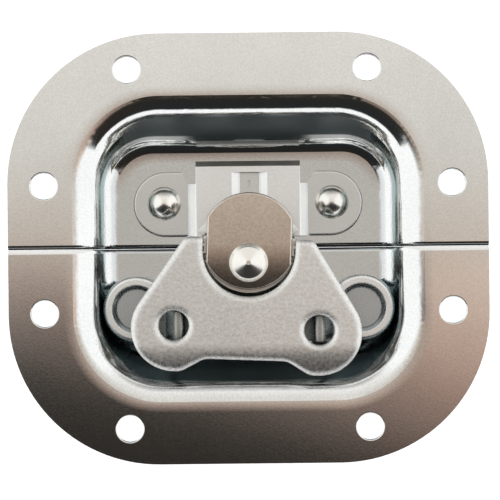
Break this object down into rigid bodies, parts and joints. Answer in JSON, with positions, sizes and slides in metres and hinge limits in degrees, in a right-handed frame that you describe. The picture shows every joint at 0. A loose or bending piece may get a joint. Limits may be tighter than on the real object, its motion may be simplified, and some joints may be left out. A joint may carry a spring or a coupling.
{
  "type": "butterfly latch",
  "caption": "Zinc-plated recessed butterfly latch in a two-part dish, with folding wing, turning claw, riveted keeper and fixing holes round the flange.",
  "frame": {"origin": "middle of the end fixing holes, on the back face of the flange", "axes": "+X across the latch, to the right seen from the front; +Y from the latch half to the keeper half; +Z out of the front of the flange"},
  "size_m": [0.112, 0.1004, 0.0184],
  "materials": {
    "dish_zinc": "bright zinc plate on pressed steel",
    "keeper_zinc": "satin zinc plate",
    "base_zinc": "zinc plate, dull on the steep faces",
    "rivet_steel": "polished steel",
    "claw_steel": "plain zinc plate",
    "disc_steel": "warm polished plate",
    "wing_zinc": "fine-grained satin zinc plate"
  },
  "bodies": {
    "dish": {"upper_dish": "dish_zinc", "lower_dish": "dish_zinc", "keeper": "keeper_zinc", "keeper_rivet_left": "rivet_steel", "keeper_rivet_right": "rivet_steel", "base_plate": "base_zinc"},
    "rotor": {"claw": "claw_steel", "spring_washer": "claw_steel", "retaining_washer": "claw_steel", "sleeve": "claw_steel", "cover_disc": "disc_steel", "spindle": "rivet_steel", "hinge_pin_left": "claw_steel", "hinge_pin_right": "claw_steel"},
    "wing": {"wing": "wing_zinc"}
  },
  "joints": [
    {"name": "claw_turn", "type": "hinge", "parent": "dish", "child": "rotor", "pos_m": [0, -0.0034, 0], "axis": [0, 0, 1], "range_deg": [0, 180]},
    {"name": "wing_lift", "type": "hinge", "parent": "rotor", "child": "wing", "pos_m": [0.00015, 0.0002, -0.0012], "axis": [-0.9991, 0.0419, 0], "range_deg": [0, 90]}
  ]
}
